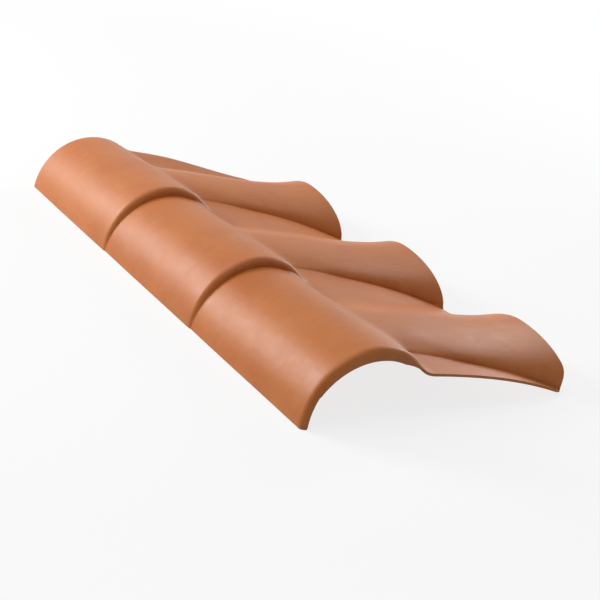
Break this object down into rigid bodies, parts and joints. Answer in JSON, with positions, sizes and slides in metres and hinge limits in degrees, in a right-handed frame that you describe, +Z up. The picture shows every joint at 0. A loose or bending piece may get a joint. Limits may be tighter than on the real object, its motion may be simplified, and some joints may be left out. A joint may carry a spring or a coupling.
{
  "type": "waved plastic ridge tile",
  "caption": "Thin moulded ridge tile: a half-round stepped ridge with a waved apron along one side, open underneath.",
  "frame": {"origin": "centre of the footprint, on the floor", "axes": "+Y along the ridge from the lipped near end to the plain far end, +X across to the waved apron, +Z up through the crown"},
  "size_m": [0.287, 0.592, 0.0667],
  "materials": {
    "moulding": "satin terracotta, evenly coloured through, with fine moulding streaks across the ridge"
  },
  "bodies": {
    "root": {"ridge_tile": "moulding"}
  },
  "joints": []
}
